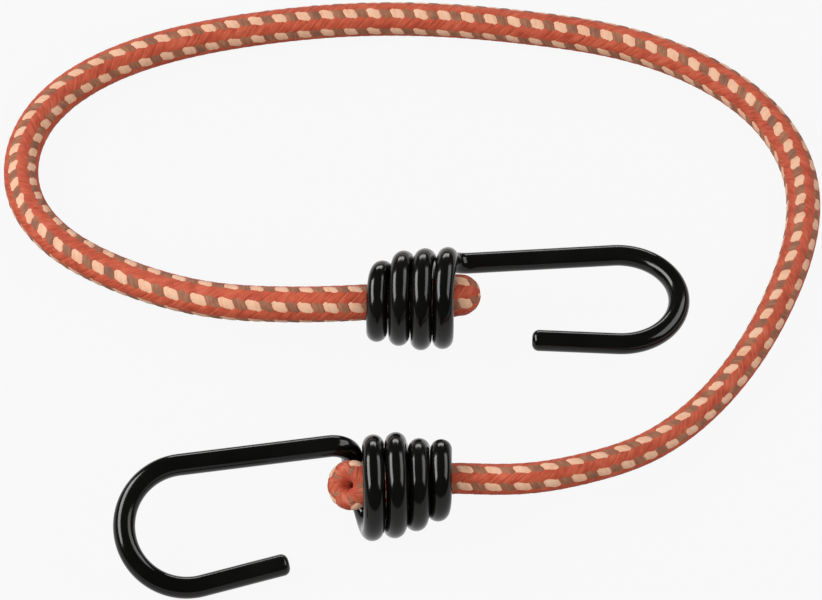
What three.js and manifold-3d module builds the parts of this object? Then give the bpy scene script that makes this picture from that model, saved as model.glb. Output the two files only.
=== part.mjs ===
// A bungee cord laid out in a loop: a braided elastic cord of 8 mm with a coiled wire hook at each end.
// Millimetres, +Z up. The hooks lie on z = 0, and the origin is under the middle of the two hooks.
import * as THREE from 'three';
import { mergeVertices } from 'three/addons/utils/BufferGeometryUtils.js';
import Module from 'manifold-3d';

const wasm = await Module();
wasm.setup();

const UP = new THREE.Vector3(0, 0, 1);

// Cord: a braided cover drawn over a bundle of square rubber strands
const CORD_DIAMETER = 8.0;
const COVER_WALL = 0.62;
const COVER_SIDES = 12;
const STRAND_SIDE = 1.1;
const STRAND_GAP = 0.3;
const STRAND_ROWS = 4;
const STRAND_SETBACK = 1.0; // how far the strands end inside the cover's cut ends
const CORD_STEP = 10.0; // greatest distance between two sections of the cord

// Clip: a round wire ring that is closed on the cord inside each coil, so that the cord can't pull out
const CLIP_WIRE = 2.0;
const CLIP_SIDES = 8;
const CLIP_STEPS = 24;
const CLIP_OPENING = 1.0; // gap between the ring's two ends
const CLIP_SQUEEZE = 0.35; // how far the ring draws the cord's surface in
const CLIP_SEAT = 0.3; // clearance between the ring and the drawn-in cord
const CLIP_PLACE = 6.75; // from the coil's large end back to the ring, along the axis
const NECK_SLOPE = 2.6; // length over which the cord draws in to the ring

// Hook: one wire that winds a coil on the cord, and goes on as a straight shank, a round bend and a short tip
const WIRE = 4.3;
const WIRE_SIDES = 10;
const WIRE_STEPS = 132;
const COIL_PITCH = 4.85;
const HOOK_A_TURNS = 3.6;
const HOOK_B_TURNS = 3.88;
const HOOK_A_SKEW = -0.9; // how far each turn is pushed along the axis on one side, and back on the other
const HOOK_B_SKEW = 0.5;
const HOOK_A_SKEW_SIDE = THREE.MathUtils.degToRad(242); // the side's angle round the axis, from the shank
const HOOK_B_SKEW_SIDE = THREE.MathUtils.degToRad(102);
const SKEW_FADE = 0.3; // turns from the coil's large end where the push fades out
const COIL_GRIP = 0.45; // clearance between the cord and the coil's small turns
const COIL_ROOM = 0.9; // clearance between the clip and the coil's large turns
const TAPER_START = 1.72; // turns from the coil's large end
const TAPER_END = 3.32;
const SHANK_OFFSET = 10.1; // from the coil's axis to the middle of the shank
const HOOK_LENGTH = 37.35; // from the coil's large end to the middle of the bend, along the axis
const BEND_RADIUS = 13.25;
const TIP_LENGTH = 19.0;
const TIP_ANGLE = THREE.MathUtils.degToRad(7.3); // how far the tip leans in towards the coil's axis
const FLAT_DEPTH = 0.5; // depth of the flats that the coils stand on
const FLOOR_GAP = 0.2; // between the leaning hook's bend and the surface that it lies on

// Where the large end of each coil's axis lies, seen from above, and which way its hook points
const HOOK_A_PLACE = [9.6, 31.3];
const HOOK_A_YAW = THREE.MathUtils.degToRad(4.2);
const HOOK_B_PLACE = [-10.6, -23.9];
const HOOK_B_YAW = THREE.MathUtils.degToRad(9.2);

// How the cord's two ends stand out of the coils past the clips, and how they swell there
const END_A_REACH = 6.2; // from the coil's large end to the cut end
const END_B_CURL = [[-3.2, 0.1], [0.6, 0.7], [4.2, 2.0]]; // places along the axis, and leans off it
const END_B_LEAN = new THREE.Vector3(0, -0.2, 0.98); // which way the end curls off the axis
const END_A_SWELL = 0.5; // growth of the cord's radius
const END_B_SWELL = 1.3;
const END_ROUND = 2.4; // length of the rounded edge at a cut end
const END_EDGE = 0.7; // radius of the cut end's opening edge, against the swollen radius
const COIL_STRAIGHT = 18.5; // the cord runs on the coil's axis this far back from the large end

// The cord's free route from hook A's coil round the loop to hook B's coil
const CORD_ROUTE = [
  [-19.0, 29.4, 10.6],
  [-30.0, 30.2, 9.7],
  [-42.0, 33.1, 7.6],
  [-53.5, 38.0, 5.4],
  [-66.0, 44.6, 4.2],
  [-77.8, 52.8, 4.1],
  [-87.0, 65.5, 4.1],
  [-89.5, 80.0, 4.1],
  [-84.5, 96.8, 4.1],
  [-72.5, 109.6, 4.1],
  [-56.0, 118.2, 4.1],
  [-36.5, 123.6, 4.1],
  [-14.0, 126.7, 4.1],
  [8.0, 126.6, 4.1],
  [30.0, 123.8, 4.1],
  [50.5, 119.0, 4.1],
  [69.0, 109.6, 4.1],
  [83.0, 95.2, 4.1],
  [90.2, 76.5, 4.1],
  [89.6, 57.0, 4.1],
  [84.0, 38.2, 4.1],
  [75.5, 20.0, 4.1],
  [64.5, 4.2, 4.1],
  [51.5, -8.1, 5.4],
  [38.5, -15.9, 8.2],
  [26.5, -20.3, 10.2],
  [17.0, -21.0, 10.6],
];

// Sizes that follow from those above
const cordRadius = CORD_DIAMETER / 2;
const neckRadius = cordRadius - CLIP_SQUEEZE;
const clipRadius = neckRadius + CLIP_SEAT + CLIP_WIRE / 2;
const coilSmallRadius = cordRadius + COIL_GRIP + WIRE / 2;
const coilLargeRadius = clipRadius + CLIP_WIRE / 2 + COIL_ROOM + WIRE / 2;
const coilHeight = coilLargeRadius + WIRE / 2 - FLAT_DEPTH;
const bendDrop = 2 * BEND_RADIUS - SHANK_OFFSET;
const leanB = Math.asin((coilHeight - WIRE / 2 - FLOOR_GAP) / bendDrop);

const hookPlaceA = placeHook(HOOK_A_PLACE, HOOK_A_YAW, 0, 0);
const hookPlaceB = placeHook(HOOK_B_PLACE, HOOK_B_YAW, leanB, Math.PI);

// A hook's place: turned over about its own y axis, leant about its coil's axis, then turned on the floor.
function placeHook([x, y], yaw, lean, turn) {
  const turned = new THREE.Quaternion().setFromEuler(new THREE.Euler(lean, turn, yaw, 'ZXY'));
  return new THREE.Matrix4().compose(new THREE.Vector3(x, y, coilHeight), turned, new THREE.Vector3(1, 1, 1));
}

// A regular polygon round the origin, as Vector2 corners
function polygon(radius, sides) {
  const corner = (k) => new THREE.Vector2(
    radius * Math.cos((2 * Math.PI * k) / sides),
    radius * Math.sin((2 * Math.PI * k) / sides),
  );
  return Array.from({ length: sides }, (_, k) => corner(k));
}

// The hook's wire in its own frame: x along the coil's axis towards the hook, from the coil's large end,
// and y towards the shank. The coil is a left-handed helix. At the end of its last turn the wire turns
// out of it, on an arc that ends on the shank's line.
class HookWire extends THREE.Curve {
  constructor(turns, skew, skewSide) {
    super();
    this.arcLengthDivisions = 3000;
    this.turns = turns;
    this.skew = skew;
    this.skewSide = skewSide;
    const leave = Math.sqrt(SHANK_OFFSET ** 2 - coilLargeRadius ** 2);
    this.lastAngle = -Math.atan2(leave, coilLargeRadius);
    this.climb = Math.atan2(COIL_PITCH, 2 * Math.PI * coilLargeRadius);
    this.turnRadius = leave / (1 - Math.sin(this.climb));
    const coilPath = 2 * Math.PI * coilLargeRadius * turns;
    const turnPath = this.turnRadius * (Math.PI / 2 - this.climb);
    this.shankStart = this.turnRadius * Math.cos(this.climb);
    const shankPath = HOOK_LENGTH - this.shankStart;
    const bendPath = BEND_RADIUS * (Math.PI + TIP_ANGLE);
    this.stretches = [
      [coilPath, (t) => this.coil(t)],
      [turnPath, (t) => this.turnOut(t)],
      [shankPath, (t) => new THREE.Vector3(this.shankStart + t * shankPath, SHANK_OFFSET, 0)],
      [bendPath, (t) => this.bend(t)],
      [TIP_LENGTH, (t) => this.tip(t)],
    ];
    this.whole = this.stretches.reduce((sum, [length]) => sum + length, 0);
  }

  coil(t) {
    const back = this.turns * (1 - t);
    const angle = this.lastAngle - 2 * Math.PI * back;
    const taper = THREE.MathUtils.smoothstep(back, TAPER_START, TAPER_END);
    const radius = THREE.MathUtils.lerp(coilLargeRadius, coilSmallRadius, taper);
    const fade = THREE.MathUtils.smoothstep(back, 0, SKEW_FADE);
    const pushed = fade * this.skew * Math.cos(angle - this.skewSide);
    return new THREE.Vector3(pushed - COIL_PITCH * back, radius * Math.cos(angle), -radius * Math.sin(angle));
  }

  turnOut(t) {
    const start = this.coil(1);
    const along = new THREE.Vector3(0, -Math.sin(this.lastAngle), -Math.cos(this.lastAngle));
    const angle = THREE.MathUtils.lerp(this.climb, Math.PI / 2, t);
    start.addScaledVector(along, this.turnRadius * (Math.sin(angle) - Math.sin(this.climb)));
    start.x += this.turnRadius * (Math.cos(this.climb) - Math.cos(angle));
    return start;
  }

  bend(t) {
    const angle = Math.PI / 2 - t * (Math.PI + TIP_ANGLE);
    return new THREE.Vector3(
      HOOK_LENGTH + BEND_RADIUS * Math.cos(angle),
      SHANK_OFFSET - BEND_RADIUS + BEND_RADIUS * Math.sin(angle),
      0,
    );
  }

  tip(t) {
    const lead = new THREE.Vector3(-Math.cos(TIP_ANGLE), Math.sin(TIP_ANGLE), 0);
    return this.bend(1).addScaledVector(lead, t * TIP_LENGTH);
  }

  getPoint(t, target = new THREE.Vector3()) {
    let rest = t * this.whole;
    for (const [length, point] of this.stretches) {
      if (rest <= length) return target.copy(point(rest / length));
      rest -= length;
    }
    return target.copy(this.tip(1));
  }
}

// The clip's wire: a ring about the x axis, open by CLIP_OPENING on the side away from the shank
class ClipWire extends THREE.Curve {
  getPoint(t, target = new THREE.Vector3()) {
    const open = (CLIP_OPENING + CLIP_WIRE) / clipRadius;
    const angle = Math.PI + open / 2 + t * (2 * Math.PI - open);
    return target.set(0, clipRadius * Math.cos(angle), clipRadius * Math.sin(angle));
  }
}

// A round wire along a curve, closed at both ends
function wire(curve, diameter, sides, steps) {
  const section = new THREE.Shape(polygon(diameter / 2, sides));
  const geometry = new THREE.ExtrudeGeometry(section, { steps, extrudePath: curve });
  return plainMesh(geometry);
}

// Only positions, with shared vertices merged
function plainMesh(geometry) {
  geometry.deleteAttribute('normal');
  geometry.deleteAttribute('uv');
  return mergeVertices(geometry, 1e-4);
}

function toSolid(geometry) {
  return new wasm.Manifold(new wasm.Mesh({
    numProp: 3,
    vertProperties: Float32Array.from(geometry.attributes.position.array),
    triVerts: Uint32Array.from(geometry.index.array),
  }));
}

function toGeometry(solid) {
  const mesh = solid.getMesh();
  const geometry = new THREE.BufferGeometry();
  geometry.setAttribute('position', new THREE.BufferAttribute(mesh.vertProperties, 3));
  geometry.setIndex(new THREE.BufferAttribute(mesh.triVerts, 1));
  geometry.computeVertexNormals();
  return geometry;
}

// The hook's wire, cut flat where it would reach below z = 0 in its place
function hookGeometry(curve, place) {
  const reach = 2 * (HOOK_LENGTH + BEND_RADIUS + WIRE);
  const below = new THREE.BoxGeometry(2 * reach, 2 * reach, reach);
  below.translate(0, 0, -reach / 2);
  below.applyMatrix4(place.clone().invert());
  const solid = toSolid(wire(curve, WIRE, WIRE_SIDES, WIRE_STEPS));
  return toGeometry(solid.subtract(toSolid(plainMesh(below))));
}

// Least clear distance between parts of a wire that aren't neighbours along it
function leastGap(curve, diameter) {
  const count = 900;
  const points = curve.getSpacedPoints(count);
  const apart = Math.ceil((3 * diameter) / (curve.getLength() / count));
  let least = Infinity;
  for (let i = 0; i < points.length; i += 1) {
    for (let j = i + apart; j < points.length; j += 1) {
      least = Math.min(least, points[i].distanceTo(points[j]));
    }
  }
  return least - diameter;
}

// The cord's middle line: along hook A's coil, round the free route, along hook B's coil and out in a curl.
// It also gives the distance of each clip from the cord's nearer end.
function cordLine() {
  const onAxis = (place, x) => new THREE.Vector3(x, 0, 0).applyMatrix4(place);
  const endA = [END_A_REACH, 0, -CLIP_PLACE, -COIL_STRAIGHT].map((x) => onAxis(hookPlaceA, x));
  const endB = [-COIL_STRAIGHT, -CLIP_PLACE].map((x) => onAxis(hookPlaceB, x));
  const curl = END_B_CURL.map(([x, lean]) => onAxis(hookPlaceB, x).addScaledVector(END_B_LEAN, lean));
  const route = CORD_ROUTE.map((point) => new THREE.Vector3(...point));
  const points = [...endA, ...route, ...endB, ...curl];
  const curve = new THREE.CatmullRomCurve3(points);
  const parts = 100;
  curve.arcLengthDivisions = parts * (points.length - 1);
  const lengths = curve.getLengths();
  const length = lengths.at(-1);
  const clipA = lengths[parts * endA.indexOf(endA.at(-2))];
  const clipB = length - lengths[parts * (points.length - 1 - curl.length)];
  return { curve, length, clipA, clipB };
}

// The cord's radius near one end, as [distance from the cut end, radius] pairs: a rounded edge, the swollen
// end, the neck in the clip, and then the plain cord
function endProfile(clip, swell) {
  const swollen = cordRadius + swell;
  const pastClip = clip + CLIP_WIRE / 2 + NECK_SLOPE;
  return [
    [0, END_EDGE * swollen],
    [END_ROUND / 3, swollen - swell / 4],
    [END_ROUND, swollen],
    [(END_ROUND + clip) / 2, cordRadius + swell / 2],
    [clip - CLIP_WIRE / 2, neckRadius],
    [clip, neckRadius],
    [clip + CLIP_WIRE / 2, neckRadius],
    [pastClip, cordRadius],
    [clip + COIL_STRAIGHT - CLIP_PLACE, cordRadius],
  ];
}

// The cord's cross sections from end A to end B, each with its middle, its two directions and its growth
function cordSections({ curve, length, clipA, clipB }) {
  const first = endProfile(clipA, END_A_SWELL);
  const last = endProfile(clipB, END_B_SWELL).map(([distance, radius]) => [length - distance, radius]).reverse();
  const from = first.at(-1)[0];
  const to = last[0][0];
  const steps = Math.ceil((to - from) / CORD_STEP);
  const free = Array.from({ length: steps - 1 }, (_, k) => [from + ((k + 1) * (to - from)) / steps, cordRadius]);
  return [...first, ...free, ...last].map(([distance, radius]) => {
    const along = curve.getTangentAt(distance / length);
    const across = new THREE.Vector3().crossVectors(UP, along).normalize();
    const over = new THREE.Vector3().crossVectors(along, across);
    return { middle: curve.getPointAt(distance / length), across, over, growth: radius / cordRadius };
  });
}

// One ring of points: an outline, drawn for the plain cord, grown or drawn in with the cord at a section
function ringAt(section, outline) {
  return outline.map((corner) => section.middle.clone()
    .addScaledVector(section.across, section.growth * corner.x)
    .addScaledVector(section.over, section.growth * corner.y));
}

// A closed skin over rings of equally many points. A looped skin joins its last ring to its first, and any
// other is closed by a flat end at each side.
function skin(rings, looped) {
  const sides = rings[0].length;
  const at = (ring, k) => (ring % rings.length) * sides + (k % sides);
  const triangles = [];
  const walls = looped ? rings.length : rings.length - 1;
  for (let ring = 0; ring < walls; ring += 1) {
    for (let k = 0; k < sides; k += 1) {
      triangles.push(at(ring, k), at(ring, k + 1), at(ring + 1, k + 1));
      triangles.push(at(ring, k), at(ring + 1, k + 1), at(ring + 1, k));
    }
  }
  for (let k = 1; !looped && k < sides - 1; k += 1) {
    triangles.push(at(0, 0), at(0, k + 1), at(0, k));
    triangles.push(at(walls, 0), at(walls, k), at(walls, k + 1));
  }
  const geometry = new THREE.BufferGeometry();
  geometry.setFromPoints(rings.flat());
  geometry.setIndex(triangles);
  geometry.computeVertexNormals();
  return geometry;
}

// The braided cover: a hollow tube, its outer wall followed by its inner wall and joined at both ends
function coverGeometry(sections) {
  const outer = polygon(cordRadius, COVER_SIDES);
  const inner = polygon(cordRadius - COVER_WALL, COVER_SIDES);
  const outside = sections.map((section) => ringAt(section, outer));
  const inside = sections.map((section) => ringAt(section, inner)).reverse();
  return skin([...outside, ...inside], true);
}

// Middles of the square strands: a grid without its four corners
function strandPlaces() {
  const pitch = STRAND_SIDE + STRAND_GAP;
  const places = [];
  for (let row = 0; row < STRAND_ROWS; row += 1) {
    for (let column = 0; column < STRAND_ROWS; column += 1) {
      const edges = [row, column].filter((k) => k === 0 || k === STRAND_ROWS - 1).length;
      const middle = (STRAND_ROWS - 1) / 2;
      if (edges < 2) places.push(new THREE.Vector2((column - middle) * pitch, (row - middle) * pitch));
    }
  }
  return places;
}

function strandGeometry(sections, place) {
  const half = STRAND_SIDE / 2;
  const corners = [[half, half], [-half, half], [-half, -half], [half, -half]];
  const outline = corners.map(([x, y]) => new THREE.Vector2(place.x + x, place.y + y));
  return skin(sections.map((section) => ringAt(section, outline)), false);
}

// The strands' sections: the cord's, with the two end ones drawn back into the cover
function setBack(sections) {
  const drawIn = (end, next) => {
    const share = STRAND_SETBACK / end.middle.distanceTo(next.middle);
    return {
      ...end,
      middle: end.middle.clone().lerp(next.middle, share),
      growth: THREE.MathUtils.lerp(end.growth, next.growth, share),
    };
  };
  const count = sections.length;
  return [
    drawIn(sections[0], sections[1]),
    ...sections.slice(2, count - 2),
    drawIn(sections[count - 1], sections[count - 2]),
  ];
}

const braidRed = new THREE.MeshStandardMaterial({ color: 0xc4563c, roughness: 0.85, metalness: 0 });
const latex = new THREE.MeshStandardMaterial({ color: 0xcdb98c, roughness: 0.7, metalness: 0 });
const blackGloss = new THREE.MeshStandardMaterial({ color: 0x0b0b0c, roughness: 0.2, metalness: 0 });
const zincWire = new THREE.MeshStandardMaterial({ color: 0x9c9d99, roughness: 0.4, metalness: 1 });

function named(name, geometry, material) {
  const mesh = new THREE.Mesh(geometry, material);
  mesh.name = name;
  return mesh;
}

const bungee = new THREE.Group();

const cord = new THREE.Group();
const line = cordLine();
const sections = cordSections(line);
const strandSections = setBack(sections);
cord.add(named('braided_cover', coverGeometry(sections), braidRed));
strandPlaces().forEach((place, k) => {
  const number = String(k + 1).padStart(2, '0');
  cord.add(named(`rubber_strand_${number}`, strandGeometry(strandSections, place), latex));
});
bungee.add(cord);

const hooks = [
  ['a', hookPlaceA, new HookWire(HOOK_A_TURNS, HOOK_A_SKEW, HOOK_A_SKEW_SIDE)],
  ['b', hookPlaceB, new HookWire(HOOK_B_TURNS, HOOK_B_SKEW, HOOK_B_SKEW_SIDE)],
];
for (const [letter, place, hookWire] of hooks) {
  const end = new THREE.Group();
  end.applyMatrix4(place);
  end.add(named(`wire_hook_${letter}`, hookGeometry(hookWire, place), blackGloss));
  const clip = named(`cord_clip_${letter}`, wire(new ClipWire(), CLIP_WIRE, CLIP_SIDES, CLIP_STEPS), zincWire);
  clip.position.x = -CLIP_PLACE;
  end.add(clip);
  bungee.add(end);
  console.log(`wire_hook_${letter}: least gap to itself ${leastGap(hookWire, WIRE).toFixed(3)} mm`);
}

console.log(`cord: ${line.length.toFixed(1)} mm from cut end to cut end`);

export default bungee;
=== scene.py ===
"""Bungee cord: a braided elastic cord in an open loop, with a coiled black wire hook on each end."""

import bpy
import numpy as np
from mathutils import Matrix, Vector


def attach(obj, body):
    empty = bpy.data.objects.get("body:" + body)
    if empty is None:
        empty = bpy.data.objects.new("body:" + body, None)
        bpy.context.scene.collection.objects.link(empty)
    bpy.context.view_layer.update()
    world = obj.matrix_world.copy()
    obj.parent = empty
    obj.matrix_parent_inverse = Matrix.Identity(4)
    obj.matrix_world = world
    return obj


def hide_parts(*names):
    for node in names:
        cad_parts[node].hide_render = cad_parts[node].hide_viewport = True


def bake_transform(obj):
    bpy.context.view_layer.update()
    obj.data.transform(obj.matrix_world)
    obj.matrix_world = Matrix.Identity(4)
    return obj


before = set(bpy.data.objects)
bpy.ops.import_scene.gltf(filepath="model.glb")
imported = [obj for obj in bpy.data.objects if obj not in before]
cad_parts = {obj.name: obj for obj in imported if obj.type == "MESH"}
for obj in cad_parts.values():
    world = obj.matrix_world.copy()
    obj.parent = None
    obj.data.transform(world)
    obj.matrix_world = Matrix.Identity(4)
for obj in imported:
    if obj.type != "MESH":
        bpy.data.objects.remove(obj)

bl_info = {
    "name": "Bungee cord",
    "version": (1, 0, 0),
    "blender": (4, 5, 0),
    "location": "View3D > Sidebar > Bungee cord",
    "description": "A braided elastic cord with a coiled wire hook on each end",
    "category": "Add Mesh",
}

MM = 0.001
UP = np.array([0.0, 0.0, 1.0])
WHITE = (1.0, 1.0, 1.0, 1.0)
TUBE_MAP = "tube"  # the UV map of every tube
MIX_A = 2  # the numbers of a Mix node's two float inputs
MIX_B = 3

# Where the hooks lie: the middle of each coil's large end, the turn of its axis, and how hook B leans
HOOK_A_PLACE = np.array([9.6, 31.3, 10.65]) * MM
HOOK_B_PLACE = np.array([-10.6, -23.9, 10.65]) * MM
HOOK_A_YAW = np.radians(4.2)
HOOK_B_YAW = np.radians(9.2)
HOOK_B_LEAN = np.radians(30.4)

# How each coil is wound. The skew pushes each turn along the axis on one side, and back on the other.
HOOK_A_TURNS = 3.6
HOOK_B_TURNS = 3.88
HOOK_A_SKEW = -0.9 * MM
HOOK_B_SKEW = 0.5 * MM
HOOK_A_SKEW_SIDE = np.radians(242)
HOOK_B_SKEW_SIDE = np.radians(102)
SKEW_FADE = 0.3  # turns back from the large end, over which the skew grows

# The hook's wire line, in its own frame: x out along the coil's axis from the large end, y to the shank
COIL_PITCH = 4.85 * MM
COIL_LARGE = 9.0 * MM
COIL_SMALL = 6.6 * MM
TAPER_START = 1.72  # turns back from the large end
TAPER_END = 3.32
SHANK_OFFSET = 10.1 * MM
HOOK_LENGTH = 37.35 * MM
BEND_RADIUS = 13.25 * MM
TIP_LENGTH = 19.0 * MM
TIP_ANGLE = np.radians(7.3)
WIRE_STEP = 0.7 * MM
WIRE_SIDES = 28
WIRE_EDGE = 1.5 * MM  # the rounding of the wire's cut ends
WIRE_EDGE_STEPS = 8
COIL_SAMPLES = 600
TURN_OUT_SAMPLES = 60
SHANK_SAMPLES = 80
BEND_SAMPLES = 200
TIP_SAMPLES = 40

# The cord's middle line. In each coil it is given by places along the axis, past the coil's large end, and by
# how far it rises there. The route round the loop lies between.
END_A_LINE = np.array([8.0, 4.0, 0.0, -6.75, -12.5, -18.5]) * MM
END_A_RISE = np.array([1.0, 0.65, 0.3, 0.0, 0.0, 0.0]) * MM
CORD_ROUTE = np.array([
    (-19.0, 29.4, 10.6), (-30.0, 30.2, 9.7), (-42.0, 33.1, 7.6), (-53.5, 38.0, 5.4), (-66.0, 44.6, 4.2),
    (-77.8, 52.8, 4.1), (-87.0, 65.5, 4.1), (-89.5, 80.0, 4.1), (-84.5, 96.8, 4.1), (-72.5, 109.6, 4.1),
    (-56.0, 118.2, 4.1), (-36.5, 123.6, 4.1), (-14.0, 126.7, 4.1), (8.0, 126.6, 4.1), (30.0, 123.8, 4.1),
    (50.5, 119.0, 4.1), (69.0, 109.6, 4.1), (83.0, 95.2, 4.1), (90.2, 76.5, 4.1), (89.6, 57.0, 4.1),
    (84.0, 38.2, 4.1), (75.5, 20.0, 4.1), (64.5, 4.2, 4.1), (51.5, -8.1, 5.4), (38.5, -15.9, 8.2),
    (26.5, -20.3, 10.2), (17.0, -21.0, 10.6),
]) * MM
END_B_LINE = np.array([-18.5, -12.5, -7.5, -3.4, 0.0, 2.0]) * MM
END_B_RISE = np.array([0.0, 0.0, 0.0, 0.15, 0.6, 1.0]) * MM
END_RISE_WAY = np.array([0.0, 0.74, 0.67])
LINE_SAMPLES = 9000

# The cord's outside at its two ends: places past the coil's large end, and the radius there
END_A_PROFILE = np.array([
    (6.3, 0.35), (6.5, 0.8), (6.4, 1.4), (5.95, 2.4), (5.1, 3.45), (3.85, 4.3), (1.9, 4.75), (-1.2, 4.5),
    (-4.4, 3.95), (-6.75, 3.78), (-9.5, 3.85), (-12.5, 4.0), (-15.0, 4.05),
]) * MM
END_B_PROFILE = np.array([
    (-15.0, 3.4), (-12.5, 3.4), (-9.5, 3.4), (-6.75, 3.5), (-4.5, 3.75),
    (-2.8, 3.8), (-1.4, 3.3), (-0.8, 2.2), (-0.7, 1.0), (-1.0, 0.4),
]) * MM
CORD_RADIUS = 4.05 * MM
CORD_RADIUS_B = 3.4 * MM
THIN_START = 335.0 * MM  # along the line, where the cord starts to narrow towards end B
THIN_END = 442.0 * MM
CORD_SPLIT = 318.0 * MM  # along the line, where the cord is split into two stretches
STRETCH_END = 478.0 * MM  # and a place further on, towards end B
SPLIT_WINDOW = 20.0 * MM  # round the split, where the profile runs straight on
PROFILE_STEP = 0.2 * MM

# The rosette on end B: where its middle is past coil B's large end, the way it faces, and its profile
ROSETTE_PAST = 1.4 * MM
ROSETTE_RISE = 1.13 * MM
ROSETTE_WAY = np.array([-0.4, -0.6, 0.69])
ROSETTE_REACH = 5.0 * MM
ROSETTE_LINE_POINTS = 5
ROSETTE_PROFILE = np.array([
    (-2.9, 1.2), (-2.9, 2.4), (-2.4, 3.9), (-1.3, 4.95), (0.2, 5.45), (1.5, 5.05), (2.35, 4.1), (2.65, 3.0),
    (2.5, 1.85), (1.8, 1.15), (0.6, 0.75), (-0.8, 0.55), (-2.0, 0.45),
]) * MM
ROSETTE_PERIOD = 6.4 * MM
ROSETTE_TURN = np.radians(25)
# How deep its flecks lie, at places along the profile from the rim to the hole
ROSETTE_SINK_PLACES = np.array([6.6, 9.5, 10.5, 12.0]) * MM
ROSETTE_SINKS = np.array([0.0, 0.72, 0.72, 1.4])

# The braid: ten yarns each way, over two and under two, which makes five rows of flecks along the cord
YARNS_EACH_WAY = 10
YARNS_IN_ROW = 2  # a row of flecks is as wide as two yarns
ROW_TURN = YARNS_IN_ROW * 2 * np.pi / YARNS_EACH_WAY
HAND_SHIFT = 0.25  # of a row, between the yarns of one hand and those of the other
FLECK_PERIOD = 5.72 * MM
FLECK_PERIOD_B = 5.95 * MM  # where the cord is narrow
FLECK_START = 29.5 * MM
# How far the rows are turned round the cord, at places along it
ROW_PLACES = np.array([0, 12, 38, 78, 108, 138, 158, 178, 208, 258, 288, 318, 348, 388, 438, 478, 530]) * MM
ROW_TURNS = np.radians([20, 22, 36, 44, 53, 69, 85, 96, 105, 118, 118, 119, 110, 99, 92, 90, 90])
# How many periods further on the flecks lie than evenly spaced ones, at places along the cord
DRIFT_PLACES = np.array([8, 26, 55, 75, 92, 105, 123, 140, 176, 262, 316, 346, 380, 412, 436, 496, 530]) * MM
DRIFT_PERIODS = np.array([
    -0.06, 0.19, 0.02, 0.5, 0.8, 0.75, 0.4, 0.15, 0.12, 0.07, 0.06, 0.28, 0.4, 0.7, 0.8, 0.87, 0.87,
])
YARN_STEP = 0.45 * MM
ROSETTE_YARN_STEP = YARN_STEP / 2
YARN_SIDES = 12
YARN_THICKNESS = 0.24 * MM
YARN_FLATNESS = 0.6  # 1 is an oval section, less is flatter on top
YARN_WAVE = 0.1 * MM
WAVE_SOFTNESS = 0.4  # how gently a yarn passes from over to under
FLECK_SWING = 2.0  # how much steeper a yarn runs on top of the braid than under it
RED_SWING = 0.2
LEAST_STEEPER = 0.4  # the least share of its even steepness that sets a yarn's width
FLECK_ROUNDING = 0.9  # how much further a fleck sinks at its yarn's edges
RED_ROUNDING = 0.0
FLECK_SINK = 0.02  # how much further under the red yarns the others lie, as a share of the wave
RED_FILL = 1.15  # how much of the space from yarn to yarn a yarn takes, over 1 where they crowd
CREAM_FILL = 1.17
DARK_FILL = 1.0
# How much of its colour's red, green and blue a yarn has in its deepest and its palest threads
RED_DEEP = (0.62, 0.45, 0.55)
RED_PALE = (1.25, 1.7, 2.0)
ROSETTE_RED_PALE = (1.35, 2.9, 3.8)
CREAM_DEEP = (0.92, 0.78, 0.7)
CREAM_PALE = (1.05, 1.15, 1.3)
DARK_DEEP = (0.55, 0.65, 0.9)
DARK_PALE = (1.5, 1.7, 1.6)
RED_SHEEN = 0.06
CREAM_SHEEN = 0.1
DARK_SHEEN = 0.03
LINING_DEPTH = 0.5 * MM
LINING_STEP = 1.0 * MM
LINING_SIDES = 48

# The elastic core: strands side by side inside the braid
STRAND_SIDE = 1.1 * MM
STRAND_PITCH = 1.4 * MM
STRAND_ROWS = 4
STRAND_STEP = 2.0 * MM
STRAND_SIDES = 12
STRAND_SQUARE = 0.55  # 1 is a round section, less is squarer
STRAND_SETBACK = 5.5 * MM  # along the line, after its start and before the cord's end B

# The camera and the studio
CAMERA_EYE = np.array([0.68, -582.8, 691.9]) * MM
CAMERA_TARGET = np.array([0.68, 40.2, 0.0]) * MM
CAMERA_LENS = 180.4
CAMERA_SENSOR = 36.0
CAMERA_NEAR = 0.01
CAMERA_FAR = 20.0
ROOM_LIGHT = 0.08
FLOOR_SIZE = 3.0
FLOOR_STEPS = 24
FLOOR_GREY = 0.3
FLOOR_ROUGHNESS = 0.9
FLOOR_GLOW = 0.92  # the share of plain white in the floor that the camera and the gloss see
LIGHT_DISTANCE = 0.85
MIRRORED_DISTANCE = 0.83  # nearer, so that the lamp that lights doesn't hide the one that gloss mirrors
# Each soft box: its name, the way to it from the part, its size, its brightness and its brightness in gloss
LIGHTS = (
    ("light_key", (-0.78, 0.02, 0.61), (0.95, 0.33), 5.2, 13.0),
    ("light_fill", (0.78, 0.1, 0.61), (0.95, 0.4), 2.1, 5.0),
    ("light_front", (0.0, -0.76, 0.65), (1.2, 0.8), 1.3, 0.0),
    ("light_back", (0.0, 0.95, 0.32), (0.5, 0.18), 3.6, 6.5),
)


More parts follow.
